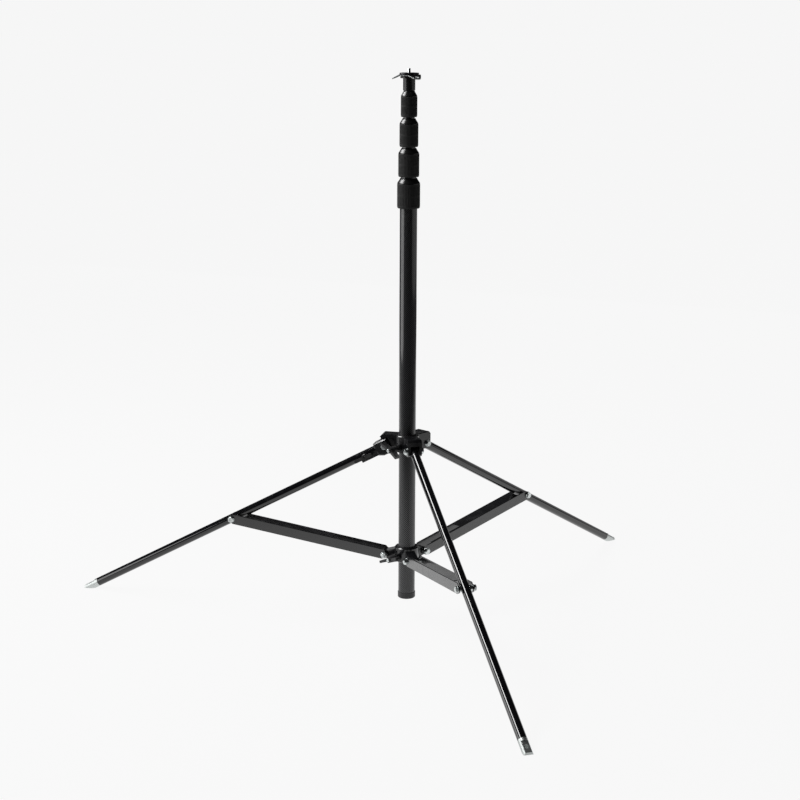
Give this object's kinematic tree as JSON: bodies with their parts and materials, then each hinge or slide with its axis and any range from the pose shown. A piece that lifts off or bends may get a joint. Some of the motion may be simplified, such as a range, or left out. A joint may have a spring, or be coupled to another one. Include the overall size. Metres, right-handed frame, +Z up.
{
  "type": "telescopic light stand",
  "caption": "Telescopic carbon mast with twist locks on a folding tripod base: hinged tube legs, channel struts, two sliding hubs, a levelling clamp and a threaded top stud.",
  "frame": {"origin": "on the mast axis at floor level", "axes": "+Z up along the mast; the front leg points along -Y, the other two at 30 and 150 degrees"},
  "size_m": [1.451, 1.2567, 1.2999],
  "materials": {
    "carbon_tube": "twill carbon fibre under satin lacquer",
    "nylon": "matte moulded nylon",
    "black_metal": "satin black anodised aluminium",
    "gloss_collar": "gloss black",
    "grip_rubber": "matte ribbed rubber",
    "black_plastic": "satin black moulding",
    "plated_steel": "bright zinc plate",
    "cast_black": "gloss black powder coat on a casting",
    "gloss_paint": "gloss black paint on tube",
    "satin_paint": "satin black paint on folded channel",
    "zinc_casting": "bare zinc casting"
  },
  "bodies": {
    "mast": {"tube_1": "carbon_tube", "mast_end_cap": "black_plastic", "lock_base_1": "black_metal", "lock_collet_1": "nylon"},
    "section_2": {"tube_2": "carbon_tube", "tube_guide_2": "nylon", "lock_base_2": "black_metal", "lock_collet_2": "nylon"},
    "section_3": {"tube_3": "carbon_tube", "tube_guide_3": "nylon", "lock_base_3": "black_metal", "lock_collet_3": "nylon"},
    "section_4": {"tube_4": "carbon_tube", "tube_guide_4": "nylon", "lock_base_4": "black_metal", "lock_collet_4": "nylon"},
    "section_5": {"tube_5": "carbon_tube", "tube_guide_5": "nylon", "top_cap": "gloss_collar", "top_plate": "black_metal", "top_stud": "plated_steel"},
    "lock_1": {"lock_collar_1": "gloss_collar", "lock_grip_1": "grip_rubber"},
    "lock_2": {"lock_collar_2": "gloss_collar", "lock_grip_2": "grip_rubber"},
    "lock_3": {"lock_collar_3": "gloss_collar", "lock_grip_3": "grip_rubber"},
    "lock_4": {"lock_collar_4": "gloss_collar", "lock_grip_4": "grip_rubber"},
    "guy_ring": {"guy_ring": "plated_steel"},
    "upper_hub": {"upper_hub": "cast_black", "upper_liner": "nylon", "leg_pivot_bolts": "plated_steel"},
    "upper_knob": {"upper_clamp_screw": "plated_steel", "upper_wing_knob": "black_plastic"},
    "lower_hub": {"lower_hub": "cast_black", "lower_liner": "nylon"},
    "lower_knob": {"lower_clamp_screw": "plated_steel", "lower_wing_knob": "black_plastic"},
    "leg_front": {"leg_head_front": "cast_black", "leg_tube_front": "gloss_paint", "foot_front": "zinc_casting", "strut_bolt_front": "plated_steel"},
    "strut_front": {"strut_front": "satin_paint", "strut_pivot_studs_front": "plated_steel"},
    "leg_right": {"leg_head_right": "cast_black", "leg_tube_right": "gloss_paint", "foot_right": "zinc_casting", "strut_bolt_right": "plated_steel"},
    "strut_right": {"strut_right": "satin_paint", "strut_pivot_studs_right": "plated_steel"},
    "leg_left": {"leg_tube_left": "gloss_paint", "foot_left": "zinc_casting", "strut_bolt_left": "plated_steel", "level_block": "cast_black"},
    "strut_left": {"strut_left": "satin_paint", "strut_pivot_studs_left": "plated_steel"},
    "level_screw": {"level_screw": "black_plastic"}
  },
  "joints": [
    {"name": "section_2_slide", "type": "slide", "parent": "mast", "child": "section_2", "axis": [0, 0, 1], "range_m": [0, 0.8]},
    {"name": "section_3_slide", "type": "slide", "parent": "section_2", "child": "section_3", "axis": [0, 0, 1], "range_m": [0, 0.8]},
    {"name": "section_4_slide", "type": "slide", "parent": "section_3", "child": "section_4", "axis": [0, 0, 1], "range_m": [0, 0.8]},
    {"name": "section_5_slide", "type": "slide", "parent": "section_4", "child": "section_5", "axis": [0, 0, 1], "range_m": [0, 0.8]},
    {"name": "lock_1_twist", "type": "hinge", "parent": "mast", "child": "lock_1", "pos_m": [0, 0, 1.02], "axis": [0, 0, 1], "range_deg": [0, 180]},
    {"name": "lock_2_twist", "type": "hinge", "parent": "section_2", "child": "lock_2", "pos_m": [0, 0, 1.09], "axis": [0, 0, 1], "range_deg": [0, 180]},
    {"name": "lock_3_twist", "type": "hinge", "parent": "section_3", "child": "lock_3", "pos_m": [0, 0, 1.15], "axis": [0, 0, 1], "range_deg": [0, 180]},
    {"name": "lock_4_twist", "type": "hinge", "parent": "section_4", "child": "lock_4", "pos_m": [0, 0, 1.22], "axis": [0, 0, 1], "range_deg": [0, 180]},
    {"name": "guy_ring_swivel", "type": "hinge", "parent": "section_5", "child": "guy_ring", "pos_m": [0, 0, 1.282], "axis": [0, 0, 1], "continuous": true},
    {"name": "upper_hub_slide", "type": "slide", "parent": "mast", "child": "upper_hub", "axis": [0, 0, 1], "range_m": [0, 0.53]},
    {"name": "lower_hub_slide", "type": "slide", "parent": "mast", "child": "lower_hub", "axis": [0, 0, 1], "range_m": [-0.02626, 0]},
    {"name": "upper_knob_turn", "type": "hinge", "parent": "upper_hub", "child": "upper_knob", "pos_m": [-0.05196, -0.03, 0.421], "axis": [-0.866, -0.5, 0], "range_deg": [0, 360]},
    {"name": "lower_knob_turn", "type": "hinge", "parent": "lower_hub", "child": "lower_knob", "pos_m": [-0.05196, -0.03, 0.152], "axis": [-0.866, -0.5, 0], "range_deg": [0, 360]},
    {"name": "leg_front_fold", "type": "hinge", "parent": "upper_hub", "child": "leg_front", "pos_m": [0, -0.052, 0.421], "axis": [1, 0, 0], "range_deg": [0, 59.96]},
    {"name": "leg_right_fold", "type": "hinge", "parent": "upper_hub", "child": "leg_right", "pos_m": [0.04503, 0.026, 0.421], "axis": [-0.5, 0.866, 0], "range_deg": [0, 59.96]},
    {"name": "leg_left_fold", "type": "hinge", "parent": "upper_hub", "child": "leg_left", "pos_m": [-0.04503, 0.026, 0.421], "axis": [-0.5, -0.866, 0], "range_deg": [0, 59.96]},
    {"name": "strut_front_fold", "type": "hinge", "parent": "leg_front", "child": "strut_front", "pos_m": [0, -0.43589, 0.21219], "axis": [1, 0, 0], "range_deg": [-139.36, 0]},
    {"name": "strut_right_fold", "type": "hinge", "parent": "leg_right", "child": "strut_right", "pos_m": [0.37749, 0.21794, 0.21219], "axis": [-0.5, 0.866, 0], "range_deg": [-139.36, 0]},
    {"name": "strut_left_fold", "type": "hinge", "parent": "leg_left", "child": "strut_left", "pos_m": [-0.37749, 0.21794, 0.21219], "axis": [-0.5, -0.866, 0], "range_deg": [-139.36, 0]},
    {"name": "level_screw_turn", "type": "hinge", "parent": "leg_left", "child": "level_screw", "pos_m": [-0.08792, 0.05076, 0.39065], "axis": [-0.5, -0.866, 0], "range_deg": [0, 360]}
  ],
  "couplings": [
    {"joint": "lower_hub_slide", "follows": "upper_hub_slide", "ratio": -0.049545},
    {"joint": "leg_front_fold", "follows": "upper_hub_slide", "rad_per_m": 1.9744},
    {"joint": "leg_right_fold", "follows": "upper_hub_slide", "rad_per_m": 1.9744},
    {"joint": "leg_left_fold", "follows": "upper_hub_slide", "rad_per_m": 1.9744},
    {"joint": "strut_front_fold", "follows": "upper_hub_slide", "rad_per_m": -4.5892},
    {"joint": "strut_right_fold", "follows": "upper_hub_slide", "rad_per_m": -4.5892},
    {"joint": "strut_left_fold", "follows": "upper_hub_slide", "rad_per_m": -4.5892}
  ]
}
